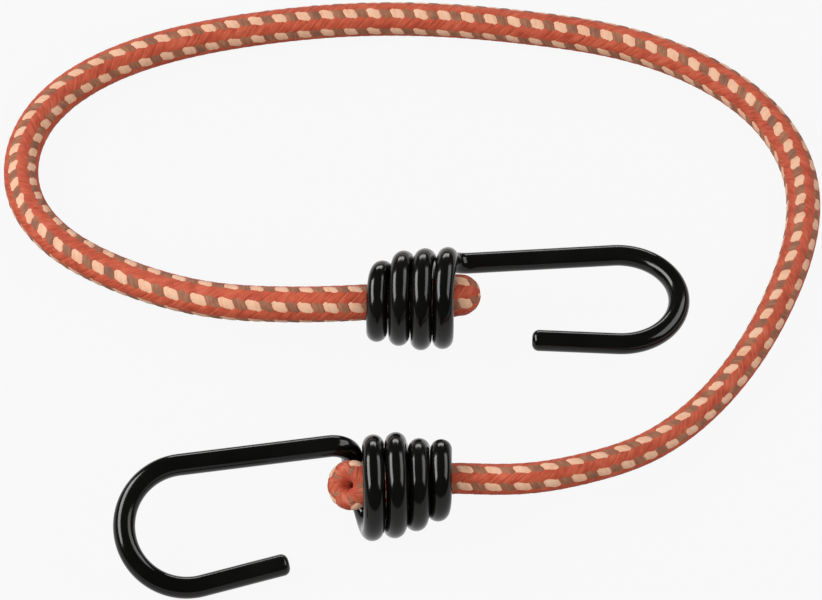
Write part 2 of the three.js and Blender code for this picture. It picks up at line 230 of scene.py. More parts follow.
class BungeeSettings(bpy.types.PropertyGroup):
    """Sizes and colours of the bungee cord that a user may change."""

    wire_diameter: bpy.props.FloatProperty(
        name="Wire diameter",
        description="Thickness of the hooks' coated wire",
        default=4.72 * MM,
        min=3.0 * MM,
        max=4.74 * MM,
        unit="LENGTH",
    )
    yarn_red: bpy.props.FloatVectorProperty(
        name="Red yarn",
        description="Colour of the yarns that run one way",
        default=(0.61, 0.105, 0.049),
        min=0.0,
        max=1.0,
        subtype="COLOR",
    )
    yarn_cream: bpy.props.FloatVectorProperty(
        name="Cream yarn",
        description="Colour of every second yarn that runs the other way",
        default=(0.96, 0.57, 0.37),
        min=0.0,
        max=1.0,
        subtype="COLOR",
    )
    yarn_dark: bpy.props.FloatVectorProperty(
        name="Dark yarn",
        description="Colour of the yarns between the cream ones",
        default=(0.36, 0.145, 0.08),
        min=0.0,
        max=1.0,
        subtype="COLOR",
    )
    rubber: bpy.props.FloatVectorProperty(
        name="Rubber",
        description="Colour of the elastic strands inside the braid",
        default=(0.6, 0.44, 0.26),
        min=0.0,
        max=1.0,
        subtype="COLOR",
    )
    coating: bpy.props.FloatVectorProperty(
        name="Hook coating",
        description="Colour of the hooks' black coating",
        default=(0.0025, 0.0025, 0.0022),
        min=0.0,
        max=1.0,
        subtype="COLOR",
    )
    zinc: bpy.props.FloatVectorProperty(
        name="Clip metal",
        description="Colour of the clips inside the coils",
        default=(0.55, 0.56, 0.57),
        min=0.0,
        max=1.0,
        subtype="COLOR",
    )


def unit(vectors):
    """The vectors at length one."""
    return vectors / np.linalg.norm(vectors, axis=-1, keepdims=True)


def smooth_step(value, low, high):
    """0 below low, 1 above high, and 3t^2 - 2t^3 between."""
    t = np.clip((value - low) / (high - low), 0, 1)
    return t * t * (3 - 2 * t)


def run_of(points):
    """The length along a line of points, from 0 at the first."""
    steps = np.linalg.norm(np.diff(points, axis=0), axis=1)
    return np.concatenate([[0.0], np.cumsum(steps)])


def spline(knots, values, wanted):
    """A cubic in each gap between knots. Slope and bend agree at each knot, and the ends have no bend."""
    gap = np.diff(knots)
    slope = np.diff(values, axis=0) / gap[:, None]
    count = len(knots)
    inner = np.arange(1, count - 1)
    rows = np.eye(count)
    rows[inner, inner - 1] = gap[:-1]
    rows[inner, inner] = 2 * (gap[:-1] + gap[1:])
    rows[inner, inner + 1] = gap[1:]
    right = np.zeros_like(values)
    right[1:-1] = 6 * np.diff(slope, axis=0)
    bend = np.linalg.solve(rows, right)
    left = np.clip(np.searchsorted(knots, wanted) - 1, 0, count - 2)
    before = (wanted - knots[left])[:, None]
    after = (knots[left + 1] - wanted)[:, None]
    width = gap[left][:, None]
    curved = (bend[left] * after**3 + bend[left + 1] * before**3) / (6 * width)
    from_left = (values[left] / width - bend[left] * width / 6) * after
    from_right = (values[left + 1] / width - bend[left + 1] * width / 6) * before
    return curved + from_left + from_right


def columns(wanted, known, table):
    """Each column of a table read at the wanted values."""
    return np.stack([np.interp(wanted, known, table[:, k]) for k in range(table.shape[1])], axis=-1)


class Line:
    """A smooth line through given points, measured by its length, with one side kept level."""

    def __init__(self, points):
        run = run_of(points)
        self.points = spline(run, points, np.linspace(0, run[-1], LINE_SAMPLES))
        self.run = run_of(self.points)
        self.along = unit(np.gradient(self.points, axis=0))
        self.side = unit(np.cross(UP, self.along))
        self.top = np.cross(self.along, self.side)

    def at(self, distance):
        """Point, direction, level side and top at distances along the line."""
        tables = (self.points, self.along, self.side, self.top)
        return [columns(distance, self.run, table) for table in tables]


def axis_of(yaw, way):
    """The level direction that a coil's axis points, out of the cord."""
    return way * np.array([np.cos(yaw), np.sin(yaw), 0.0])


AXIS_A = axis_of(HOOK_A_YAW, 1)
AXIS_B = axis_of(HOOK_B_YAW, -1)


class Skin:
    """A soft piece's outside: a profile of distance along a line and radius, carried round the line.

    A point at a reach along the profile, a turn round the line and a lift off the surface is
    centre + forward * along + out * (cos(turn) * side + sin(turn) * top), where forward and out are the
    profile's own place plus the lift along its outward direction. phase counts fleck periods, row_turn is
    how far the rows of flecks have turned and sink how deep the flecks lie, all at each reach.
    """

    def __init__(self, line, profile):
        self.line = line
        self.profile = profile
        self.reach = run_of(profile)
        self.whole = self.reach[-1]
        way = unit(np.gradient(profile, self.reach, axis=0))
        self.outward = np.stack([-way[:, 1], way[:, 0]], axis=1)

    def read(self, reach, values):
        """What is known all along the profile, read at the given reaches."""
        return np.interp(reach, self.reach, values)

    def radius(self, reach):
        """The outside's radius at the given reaches."""
        return self.read(reach, self.profile[:, 1])

    def place(self, reach, turn, lift):
        """The points at the given reaches, turns and lifts."""
        forward = self.read(reach, self.outward[:, 0]) * lift
        out = self.read(reach, self.outward[:, 1]) * lift + self.radius(reach)
        point, along, side, top = self.line.at(self.read(reach, self.profile[:, 0]))
        round_line = np.cos(turn)[..., None] * side + np.sin(turn)[..., None] * top
        return point + forward[..., None] * along + out[..., None] * round_line


def smooth_profile(points):
    """The smooth profile through given points of distance and radius."""
    run = run_of(points)
    return spline(run, points, np.arange(0, run[-1], PROFILE_STEP))


def cord_skin():
    """The cord's outside from end A to end B, inside the rosette."""
    start = HOOK_A_PLACE + END_A_LINE[:, None] * AXIS_A + END_A_RISE[:, None] * END_RISE_WAY
    end = HOOK_B_PLACE + END_B_LINE[:, None] * AXIS_B + END_B_RISE[:, None] * END_RISE_WAY
    line = Line(np.concatenate([start, CORD_ROUTE, end]))
    past_b = (line.points - HOOK_B_PLACE) @ AXIS_B
    last = line.run > line.run[-1] / 2
    large_b = np.interp(0.0, past_b[last], line.run[last])
    end_a = smooth_profile(END_A_PROFILE * [-1, 1] + [END_A_LINE[0], 0])
    end_b = smooth_profile(END_B_PROFILE + [large_b, 0])
    distance = np.arange(end_a[-1, 0] + PROFILE_STEP, end_b[0, 0], PROFILE_STEP)
    radius = CORD_RADIUS + (CORD_RADIUS_B - CORD_RADIUS) * smooth_step(distance, THIN_START, THIN_END)
    skin = Skin(line, np.concatenate([end_a, np.stack([distance, radius], axis=1), end_b]))
    thinner = smooth_step(skin.reach, THIN_START, THIN_END)
    period = FLECK_PERIOD + (FLECK_PERIOD_B - FLECK_PERIOD) * thinner
    phase = np.concatenate([[0.0], np.cumsum(np.diff(skin.reach) / period[1:])])
    held = np.clip(skin.reach, DRIFT_PLACES[0], DRIFT_PLACES[-1])
    drift = spline(DRIFT_PLACES, DRIFT_PERIODS[:, None], held)[:, 0]
    skin.phase = phase - np.interp(FLECK_START, skin.reach, phase) - drift
    skin.row_turn = spline(ROW_PLACES, ROW_TURNS[:, None], skin.reach)[:, 0]
    skin.sink = np.full_like(skin.reach, FLECK_SINK)
    return skin


def rosette_skin():
    """The outside of the rosette on end B, from its back to the hole in its face."""
    middle = HOOK_B_PLACE + ROSETTE_PAST * AXIS_B + ROSETTE_RISE * END_RISE_WAY
    reach = np.linspace(-ROSETTE_REACH, ROSETTE_REACH, ROSETTE_LINE_POINTS)
    line = Line(middle + reach[:, None] * unit(ROSETTE_WAY))
    skin = Skin(line, smooth_profile(ROSETTE_PROFILE + [ROSETTE_REACH, 0]))
    skin.phase = skin.reach / ROSETTE_PERIOD
    skin.row_turn = np.full_like(skin.reach, ROSETTE_TURN)
    skin.sink = np.interp(skin.reach, ROSETTE_SINK_PLACES, ROSETTE_SINKS)
    return skin


def yarn_tubes(skin, reach, hand, picks, fill, swing, rounding):
    """The yarns of one hand as closed tubes: an array of yarns, rings, sides and xyz, and the run along each.

    A yarn turns by one row of flecks in each fleck period, to the side of its hand, and runs steeper by the
    swing where it lies on top. Its section is a flattened oval, laid square to the yarn in the surface. Each
    point of it rises and falls by level / sqrt(level^2 + softness^2), where level is the cosine of its own
    place in the row, less the sink and less a rounding at the yarn's edges. So a yarn passes over two yarns
    of the other hand and under two, and the crossings line up along the rows.
    """
    phase = skin.read(reach, skin.phase)[None, :]
    even = hand * phase + picks[:, None] / YARNS_IN_ROW + HAND_SHIFT * (1 - hand) / 2
    steeper = 1 + hand * swing * np.cos(2 * np.pi * even)
    place = even + hand * swing / (2 * np.pi) * np.sin(2 * np.pi * even)
    row_turn = skin.read(reach, skin.row_turn)[None, :]
    turn = row_turn + ROW_TURN * place
    radius = skin.radius(reach)[None, :]
    rise = radius * np.gradient(turn, reach, axis=1)
    slope = np.sqrt(1 + rise**2)
    spacing = 2 * np.pi / YARNS_EACH_WAY * radius * np.maximum(steeper, LEAST_STEEPER) / slope
    angle = 2 * np.pi * np.arange(YARN_SIDES) / YARN_SIDES
    section = np.sign(np.sin(angle)) * np.abs(np.sin(angle)) ** YARN_FLATNESS
    across = (spacing / 2 * fill)[..., None] * np.cos(angle)
    shifted = np.clip(reach[None, :, None] - across * (rise / slope)[..., None], 0, skin.whole)
    turned = turn[..., None] + across / (radius * slope)[..., None]
    own_place = (turned - row_turn[..., None]) / ROW_TURN
    sink = skin.read(reach, skin.sink)[None, :, None]
    level = np.cos(2 * np.pi * own_place) - sink - rounding * np.cos(angle) ** 2
    wave = hand * level / np.sqrt(level**2 + WAVE_SOFTNESS**2)
    size = np.sqrt(radius / CORD_RADIUS)[..., None]
    lift = size * (YARN_WAVE * (wave - 1) + YARN_THICKNESS * (section - 1))
    steps = slope[:, 1:] * np.diff(reach)
    run = np.concatenate([np.zeros((len(picks), 1)), np.cumsum(steps, axis=1)], axis=1)
    return skin.place(shifted, turned, lift), run


def lining_tube(skin, reach):
    """The surface under the yarns as one closed tube, and the length along it.

    It lies under the skin by the lining's depth, or by half the radius where that is less.
    """
    turn = -2 * np.pi * np.arange(LINING_SIDES) / LINING_SIDES
    along, around = np.meshgrid(reach, turn, indexing="ij")
    depth = np.minimum(LINING_DEPTH, skin.radius(along) / 2)
    return skin.place(along, around, -depth)[None], reach[None]


def round_tube(centre, side, other, radius, sides):
    """One closed tube: at each centre a ring of its radius, cos(angle) * side + sin(angle) * other."""
    angle = -2 * np.pi * np.arange(sides) / sides
    ring = np.cos(angle)[None, :, None] * side[:, None, :] + np.sin(angle)[None, :, None] * other[:, None, :]
    return (centre[:, None, :] + radius[:, None, None] * ring)[None]


def tube_mesh(name, tubes, run):
    """An object of closed tubes, with a UV map of length in millimetres and share of the way round.

    tubes is an array of tubes, rings, sides and xyz, with the sides turning clockwise seen along the tube.
    """
    count, rings, sides = tubes.shape[:3]
    index = np.arange(count * rings * sides).reshape(count, rings, sides)
    beside = np.roll(index, -1, axis=2)
    quads = np.stack([index[:, :-1], index[:, 1:], beside[:, 1:], beside[:, :-1]], axis=-1).reshape(-1, 4)
    first_caps = index[:, 0, :]
    last_caps = index[:, -1, ::-1]
    caps = np.concatenate([first_caps, last_caps])
    corners = np.concatenate([quads.ravel(), caps.ravel()])
    totals = np.concatenate([np.full(len(quads), 4), np.full(len(caps), sides)])
    mesh = bpy.data.meshes.new(name)
    mesh.vertices.add(index.size)
    mesh.vertices.foreach_set("co", tubes.reshape(-1).astype(np.float32))
    mesh.loops.add(len(corners))
    mesh.loops.foreach_set("vertex_index", corners.astype(np.int32))
    mesh.polygons.add(len(totals))
    mesh.polygons.foreach_set("loop_start", (np.cumsum(totals) - totals).astype(np.int32))
    mesh.polygons.foreach_set("use_smooth", np.ones(len(totals), bool))
    length = np.broadcast_to((run / MM)[:, :, None], index.shape)
    share = np.broadcast_to(np.arange(sides) / sides, index.shape)
    next_share = share + 1 / sides
    along = np.stack([length[:, :-1], length[:, 1:], length[:, 1:], length[:, :-1]], axis=-1)
    around = np.stack([share[:, :-1], share[:, 1:], next_share[:, 1:], next_share[:, :-1]], axis=-1)
    quad_uv = np.stack([along.reshape(-1), around.reshape(-1)], axis=1)
    cap_along = np.concatenate([length[:, 0, :], length[:, -1, ::-1]]).reshape(-1)
    cap_around = np.concatenate([share[:, 0, :], share[:, -1, ::-1]]).reshape(-1)
    uv = np.concatenate([quad_uv, np.stack([cap_along, cap_around], axis=1)])
    layer = mesh.uv_layers.new(name=TUBE_MAP)
    layer.data.foreach_set("uv", uv.reshape(-1).astype(np.float32))
    mesh.update(calc_edges=True)
    mesh.validate()
    thing = bpy.data.objects.new(name, mesh)
    bpy.context.scene.collection.objects.link(thing)
    return thing


def set_sockets(node, **values):
    """Set a node's input sockets by name, where an underscore stands for a space."""
    for key, value in values.items():
        node.inputs[key.replace("_", " ")].default_value = value


def add_node(tree, kind, **values):
    """A new shader node, with its properties and input sockets set by name."""
    node = tree.nodes.new(kind)
    for key, value in values.items():
        if hasattr(node, key):
            setattr(node, key, value)
        else:
            set_sockets(node, **{key: value})
    return node


def new_material(name):
    """An empty material with one principled shader: the material, its node tree and the shader."""
    material = bpy.data.materials.new(name)
    material.use_nodes = True
    tree = material.node_tree
    tree.nodes.clear()
    output = tree.nodes.new("ShaderNodeOutputMaterial")
    shader = tree.nodes.new("ShaderNodeBsdfPrincipled")
    tree.links.new(shader.outputs["BSDF"], output.inputs["Surface"])
    return material, tree, shader


def add_noise(tree, source, scale, detail, stretch=None):
    """Noise read at a source's coordinates, which the stretch multiplies along each axis first."""
    if stretch:
        mapping = add_node(tree, "ShaderNodeMapping", Scale=stretch)
        tree.links.new(source, mapping.inputs["Vector"])
        source = mapping.outputs["Vector"]
    noise = add_node(tree, "ShaderNodeTexNoise", Scale=scale, Detail=detail)
    tree.links.new(source, noise.inputs["Vector"])
    return noise.outputs["Fac"]


def add_bump(tree, shader, height, strength, distance):
    """Fine relief on a shader, from a height."""
    bump = add_node(tree, "ShaderNodeBump", Strength=strength, Distance=distance)
    tree.links.new(height, bump.inputs["Height"])
    tree.links.new(bump.outputs["Normal"], shader.inputs["Normal"])


def colour_ramp(tree, factor, stops):
    """A ramp through (place, colour) stops, read at a factor."""
    ramp = tree.nodes.new("ShaderNodeValToRGB")
    elements = ramp.color_ramp.elements
    for end, (place, colour) in enumerate((stops[0], stops[-1])):
        elements[end].position = place
        elements[end].color = (*colour, 1.0)
    for place, colour in stops[1:-1]:
        element = elements.new(place)
        element.color = (*colour, 1.0)
    tree.links.new(factor, ramp.inputs["Fac"])
    return ramp.outputs["Color"]


def tint(colour, by):
    """A colour times a factor for each of red, green and blue."""
    return tuple(min(1.0, float(c) * b) for c, b in zip(colour, by))


def yarn_material(name, colour, deep, pale, sheen):
    """Twisted multifilament yarn: fine threads along it, tone that drifts from place to place, soft sheen."""
    material, tree, shader = new_material(name)
    uv = add_node(tree, "ShaderNodeUVMap", uv_map=TUBE_MAP)
    place = tree.nodes.new("ShaderNodeTexCoord")
    threads = add_noise(tree, uv.outputs["UV"], scale=1.0, detail=4.0, stretch=(0.3, 13.0, 1.0))
    patches = add_noise(tree, place.outputs["Object"], scale=330.0, detail=2.0)
    tone = add_node(tree, "ShaderNodeMix", data_type="FLOAT", Factor=0.6)
    tree.links.new(patches, tone.inputs[MIX_A])
    tree.links.new(threads, tone.inputs[MIX_B])
    stops = [(0.3, tint(colour, deep)), (0.5, tuple(colour)), (0.7, tint(colour, pale))]
    tree.links.new(colour_ramp(tree, tone.outputs["Result"], stops), shader.inputs["Base Color"])
    add_bump(tree, shader, threads, strength=0.55, distance=0.08 * MM)
    set_sockets(shader, Roughness=0.62, Specular_IOR_Level=0.12, Sheen_Weight=sheen, Sheen_Roughness=0.45)
    return material


def lining_material(name, colour):
    """Painted shade for the gaps of the braid: a sheet under the yarns in a darkened copy of the red yarn's
    colour.
    """
    material, tree, shader = new_material(name)
    uv = add_node(tree, "ShaderNodeUVMap", uv_map=TUBE_MAP)
    threads = add_noise(tree, uv.outputs["UV"], scale=1.0, detail=3.0, stretch=(1.2, 40.0, 1.0))
    # painted shade: the red yarn's colour cut to about a fifth and two fifths, streaked along the threads
    deep = tint(colour, (0.18, 0.15, 0.2))
    shallow = tint(colour, (0.42, 0.34, 0.4))
    colours = colour_ramp(tree, threads, [(0.35, deep), (0.7, shallow)])
    tree.links.new(colours, shader.inputs["Base Color"])
    add_bump(tree, shader, threads, strength=0.5, distance=0.1 * MM)
    set_sockets(shader, Roughness=0.8)
    return material


def coating_material(name, colour):
    """Glossy black dipped coating: slight waves in the gloss and a few duller rubbed places."""
    material, tree, shader = new_material(name)
    place = tree.nodes.new("ShaderNodeTexCoord")
    waves = add_noise(tree, place.outputs["Object"], scale=260.0, detail=2.0)
    rubs = add_noise(tree, place.outputs["Object"], scale=75.0, detail=5.0)
    rubbed = tint(colour, (2.2, 2.1, 1.9))
    colours = colour_ramp(tree, rubs, [(0.35, tuple(colour)), (0.75, rubbed)])
    tree.links.new(colours, shader.inputs["Base Color"])
    gloss = add_node(tree, "ShaderNodeMapRange", From_Min=0.35, From_Max=0.75, To_Min=0.1, To_Max=0.2)
    tree.links.new(rubs, gloss.inputs["Value"])
    tree.links.new(gloss.outputs["Result"], shader.inputs["Roughness"])
    add_bump(tree, shader, waves, strength=0.25, distance=0.06 * MM)
    set_sockets(shader, IOR=1.45, Specular_IOR_Level=0.3)
    return material


def rubber_material(name, colour):
    """Pale natural rubber with a dusty bloom."""
    material, tree, shader = new_material(name)
    place = tree.nodes.new("ShaderNodeTexCoord")
    bloom = add_noise(tree, place.outputs["Object"], scale=420.0, detail=4.0)
    bare = tint(colour, (0.8, 0.76, 0.7))
    dusty = tint(colour, (1.15, 1.15, 1.2))
    colours = colour_ramp(tree, bloom, [(0.35, bare), (0.7, dusty)])
    tree.links.new(colours, shader.inputs["Base Color"])
    add_bump(tree, shader, bloom, strength=0.3, distance=0.05 * MM)
    set_sockets(shader, Roughness=0.7)
    return material


def zinc_material(name, colour):
    """Zinc plating: fine drawn lines and a patchy bright and dull finish."""
    material, tree, shader = new_material(name)
    place = tree.nodes.new("ShaderNodeTexCoord")
    patches = add_noise(tree, place.outputs["Object"], scale=500.0, detail=4.0)
    lines = add_noise(tree, place.outputs["Object"], scale=900.0, detail=2.0, stretch=(0.2, 1.0, 1.0))
    dull = tint(colour, (0.75, 0.76, 0.8))
    bright = tint(colour, (1.1, 1.1, 1.05))
    colours = colour_ramp(tree, patches, [(0.3, dull), (0.7, bright)])
    tree.links.new(colours, shader.inputs["Base Color"])
    gloss = add_node(tree, "ShaderNodeMapRange", To_Min=0.28, To_Max=0.5)
    tree.links.new(patches, gloss.inputs["Value"])
    tree.links.new(gloss.outputs["Result"], shader.inputs["Roughness"])
    add_bump(tree, shader, lines, strength=0.3, distance=0.03 * MM)
    set_sockets(shader, Metallic=1.0)
    return material


def settings():
    """The sizes and colours that the user may change."""
    return bpy.context.scene.bungee_settings


def dress(thing, material):
    """Give a piece its material."""
    thing.data.materials.clear()
    thing.data.materials.append(material)


def hold(thing, stretch, skin):
    """A piece of the main stretch stays with the cord; one of the other stretch has its place baked into its
    mesh.
    """
    if stretch == "main":
        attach(thing, "cord")
    else:
        start, end = skin.line.at(np.array([CORD_SPLIT, STRETCH_END]))[0]
        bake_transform(thing)


def cord_stretches(skin, step):
    """The reaches of the cord's fixed stretch and of the one after the split, at an even step."""
    free = np.abs(skin.profile[:, 0] - CORD_SPLIT) < SPLIT_WINDOW
    split = float(np.interp(CORD_SPLIT, skin.profile[free, 0], skin.reach[free]))
    main = np.linspace(0, split, int(split / step))
    run = np.linspace(split, skin.whole, int((skin.whole - split) / step))
    return (("main", main), ("run_b", run))


def yarn_groups(piece, red_pale):
    """Each colour's name and material, and what makes its yarns: hand, picks, fill, swing and rounding."""
    colours = settings()
    every = np.arange(YARNS_EACH_WAY)
    red = yarn_material(piece + "_yarn_red", colours.yarn_red, RED_DEEP, red_pale, RED_SHEEN)
    cream = yarn_material(piece + "_yarn_cream", colours.yarn_cream, CREAM_DEEP, CREAM_PALE, CREAM_SHEEN)
    dark = yarn_material(piece + "_yarn_dark", colours.yarn_dark, DARK_DEEP, DARK_PALE, DARK_SHEEN)
    return (
        ("red", red, (-1, every, RED_FILL, RED_SWING, RED_ROUNDING)),
        ("cream", cream, (1, every[::2], CREAM_FILL, FLECK_SWING, FLECK_ROUNDING)),
        ("dark", dark, (1, every[1::2], DARK_FILL, FLECK_SWING, FLECK_ROUNDING)),
    )


class BUNGEE_OT_stage(bpy.types.Operator):
    """Add the floor, the studio lights, the room light and the camera"""

    bl_idname = "bungee.stage"
    bl_label = "Stage"

    def execute(self, context):
        self.add_floor(context)
        self.add_world(context)
        for name, direction, size, brightness, in_gloss in LIGHTS:
            way = unit(np.array(direction))
            lamp = self.add_light(context, name, way, LIGHT_DISTANCE, size, brightness)
            lamp.visible_glossy = False
            if in_gloss > 0:
                mirrored = self.add_light(context, name + "_mirrored", way, MIRRORED_DISTANCE, size, in_gloss)
                mirrored.visible_diffuse = False
        self.add_camera(context)
        return {"FINISHED"}

    def add_floor(self, context):
        """A level sheet that the part lies on, nearly white to the camera and in gloss."""
        across = np.linspace(-FLOOR_SIZE / 2, FLOOR_SIZE / 2, FLOOR_STEPS)
        x, y = np.meshgrid(across, across)
        points = np.stack([x, y, np.zeros_like(x)], axis=-1).reshape(-1, 3)
        index = np.arange(FLOOR_STEPS**2).reshape(FLOOR_STEPS, FLOOR_STEPS)
        corners = (index[:-1, :-1], index[:-1, 1:], index[1:, 1:], index[1:, :-1])
        faces = np.stack(corners, axis=-1).reshape(-1, 4)
        mesh = bpy.data.meshes.new("floor")
        mesh.from_pydata(points.tolist(), [], faces.tolist())
        floor = bpy.data.objects.new("floor", mesh)
        context.scene.collection.objects.link(floor)
        material, tree, shader = new_material("floor_white")
        grey = (FLOOR_GREY, FLOOR_GREY, FLOOR_GREY, 1.0)
        set_sockets(shader, Base_Color=grey, Roughness=FLOOR_ROUGHNESS, Specular_IOR_Level=0.0)
        glow = add_node(tree, "ShaderNodeEmission", Color=WHITE, Strength=1.0)
        mix = tree.nodes.new("ShaderNodeMixShader")
        share = add_node(tree, "ShaderNodeMath", operation="MULTIPLY")
        share.inputs[1].default_value = FLOOR_GLOW
        tree.links.new(self.seen(tree), share.inputs[0])
        tree.links.new(share.outputs["Value"], mix.inputs["Fac"])
        tree.links.new(shader.outputs["BSDF"], mix.inputs[1])
        tree.links.new(glow.outputs["Emission"], mix.inputs[2])
        output = next(node for node in tree.nodes if node.type == "OUTPUT_MATERIAL")
        tree.links.new(mix.outputs["Shader"], output.inputs["Surface"])
        mesh.materials.append(material)

    def seen(self, tree):
        """1 for rays from the camera, in a reflection or through glass."""
        path = tree.nodes.new("ShaderNodeLightPath")
        first = add_node(tree, "ShaderNodeMath", operation="MAXIMUM")
        second = add_node(tree, "ShaderNodeMath", operation="MAXIMUM")
        tree.links.new(path.outputs["Is Camera Ray"], first.inputs[0])
        tree.links.new(path.outputs["Is Glossy Ray"], first.inputs[1])
        tree.links.new(first.outputs["Value"], second.inputs[0])
        tree.links.new(path.outputs["Is Transmission Ray"], second.inputs[1])
        return second.outputs["Value"]

    def add_world(self, context):
        """A dim even room light."""
        world = bpy.data.worlds.new("studio")
        context.scene.world = world
        world.use_nodes = True
        set_sockets(world.node_tree.nodes["Background"], Color=WHITE, Strength=ROOM_LIGHT)

    def add_light(self, context, name, direction, distance, size, brightness):
        """A soft box that faces the part. Its power is its brightness times pi times its area."""
        light = bpy.data.lights.new(name, "AREA")
        light.shape = "RECTANGLE"
        light.size = size[0]
        light.size_y = size[1]
        light.energy = brightness * np.pi * size[0] * size[1]
        lamp = bpy.data.objects.new(name, light)
        context.scene.collection.objects.link(lamp)
        lamp.location = CAMERA_TARGET + direction * distance
        self.aim(lamp, -direction)
        return lamp

    def add_camera(self, context):
        """A long lens that looks down on the part from in front."""
        camera = bpy.data.cameras.new("camera")
        camera.lens = CAMERA_LENS
        camera.sensor_width = CAMERA_SENSOR
        camera.sensor_fit = "HORIZONTAL"
        camera.clip_start = CAMERA_NEAR
        camera.clip_end = CAMERA_FAR
        thing = bpy.data.objects.new("camera", camera)
        context.scene.collection.objects.link(thing)
        thing.location = CAMERA_EYE
        self.aim(thing, unit(CAMERA_TARGET - CAMERA_EYE))
        context.scene.camera = thing

    def aim(self, thing, direction):
        """Turn a lamp or camera so that its own -z points along a direction and its x stays level."""
        thing.rotation_euler = Vector(direction).to_track_quat("-Z", "Y").to_euler()


class BUNGEE_OT_braid(bpy.types.Operator):
    bl_idname = "bungee.braid"
    bl_label = "Braid"

    def execute(self, context):
        skin = cord_skin()
        # the lining under the braid is a sheet of painted shade, a darkened red
        lining = lining_material("braid_lining_painted_shade", settings().yarn_red)
        groups = yarn_groups("cord", RED_PALE)
        for name, reach in cord_stretches(skin, YARN_STEP):
            pieces = {}
            for colour, material, yarns in groups:
                tubes, run = yarn_tubes(skin, reach, *yarns)
                pieces[colour] = tube_mesh("cord_%s_%s" % (name, colour), tubes, run)
                dress(pieces[colour], material)
            rings = np.linspace(reach[0], reach[-1], int((reach[-1] - reach[0]) / LINING_STEP))
            pieces["lining"] = tube_mesh("cord_%s_lining" % name, *lining_tube(skin, rings))
            dress(pieces["lining"], lining)
            for piece in pieces.values():
                hold(piece, name, skin)
            self.declare(skin, name, reach, pieces)
        return {"FINISHED"}

    def declare(self, skin, name, reach, pieces):
        """Work out the stretch's path and the pieces that go with it, which nothing uses further. The main
        stretch hides the model's braided cover.
        """
        distance = skin.read(reach, skin.profile[:, 0])
        path = skin.line.at(np.linspace(distance.min(), distance.max(), len(reach)))[0]
        others = [pieces["cream"], pieces["dark"], pieces["lining"], "core_" + name]
        if name == "main":
            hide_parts("braided_cover")
        else:
            others += ["end_b_red", "end_b_cream", "end_b_dark", "end_b_lining_painted_shade"]


class BUNGEE_OT_rosette(bpy.types.Operator):
    """Gather the braid of end B into a rosette"""

    bl_idname = "bungee.rosette"
    bl_label = "Rosette"

    def execute(self, context):
        skin = rosette_skin()
        reach = np.linspace(0, skin.whole, int(skin.whole / ROSETTE_YARN_STEP))
        for colour, material, yarns in yarn_groups("rosette", ROSETTE_RED_PALE):
            tubes, run = yarn_tubes(skin, reach, *yarns)
            piece = tube_mesh("end_b_" + colour, tubes, run)
            dress(piece, material)
            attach(piece, "end_b")
        # the lining under the rosette's yarns is a sheet of painted shade too
        piece = tube_mesh("end_b_lining_painted_shade", *lining_tube(skin, reach))
        dress(piece, lining_material("rosette_lining_painted_shade", settings().yarn_red))
        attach(piece, "end_b")
        return {"FINISHED"}


class BUNGEE_OT_core(bpy.types.Operator):
    """Lay the elastic strands inside the braid"""

    bl_idname = "bungee.core"
    bl_label = "Core"

    def execute(self, context):
        skin = cord_skin()
        material = rubber_material("rubber", settings().rubber)
        middle = (np.arange(STRAND_ROWS) - (STRAND_ROWS - 1) / 2) * STRAND_PITCH
        across, up = (grid.ravel() for grid in np.meshgrid(middle, middle))
        corner = (np.abs(across) > STRAND_PITCH) & (np.abs(up) > STRAND_PITCH)
        spots = np.stack([across[~corner], up[~corner]], axis=1)
        angle = -2 * np.pi * np.arange(STRAND_SIDES) / STRAND_SIDES
        square = np.stack([np.cos(angle), np.sin(angle)], axis=1)
        square = np.sign(square) * np.abs(square) ** STRAND_SQUARE * STRAND_SIDE / 2
        narrow = CORD_RADIUS_B / CORD_RADIUS
        last = float(skin.profile[:, 0].max()) - STRAND_SETBACK
        stretches = (("main", STRAND_SETBACK, CORD_SPLIT), ("run_b", CORD_SPLIT, last))
        nodes = ["rubber_strand_%02d" % (k + 1) for k in range(len(spots))]
        for name, start, end in stretches:
            distance = np.linspace(start, end, int((end - start) / STRAND_STEP))
            point, _, side, top = skin.line.at(distance)
            slim = np.interp(distance, [THIN_START, THIN_END], [1.0, narrow])[None, :, None]
            section = (spots[:, None, None, :] + square[None, None, :, :]) * slim[..., None]
            sideways = section[..., :1] * side[None, :, None]
            upwards = section[..., 1:] * top[None, :, None]
            tubes = point[None, :, None] + sideways + upwards
            run = np.broadcast_to(distance[None], (len(spots), len(distance)))
            piece = tube_mesh("core_" + name, tubes, run)
            dress(piece, material)
            hold(piece, name, skin)
            if name == "main":
                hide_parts(*nodes)
        return {"FINISHED"}


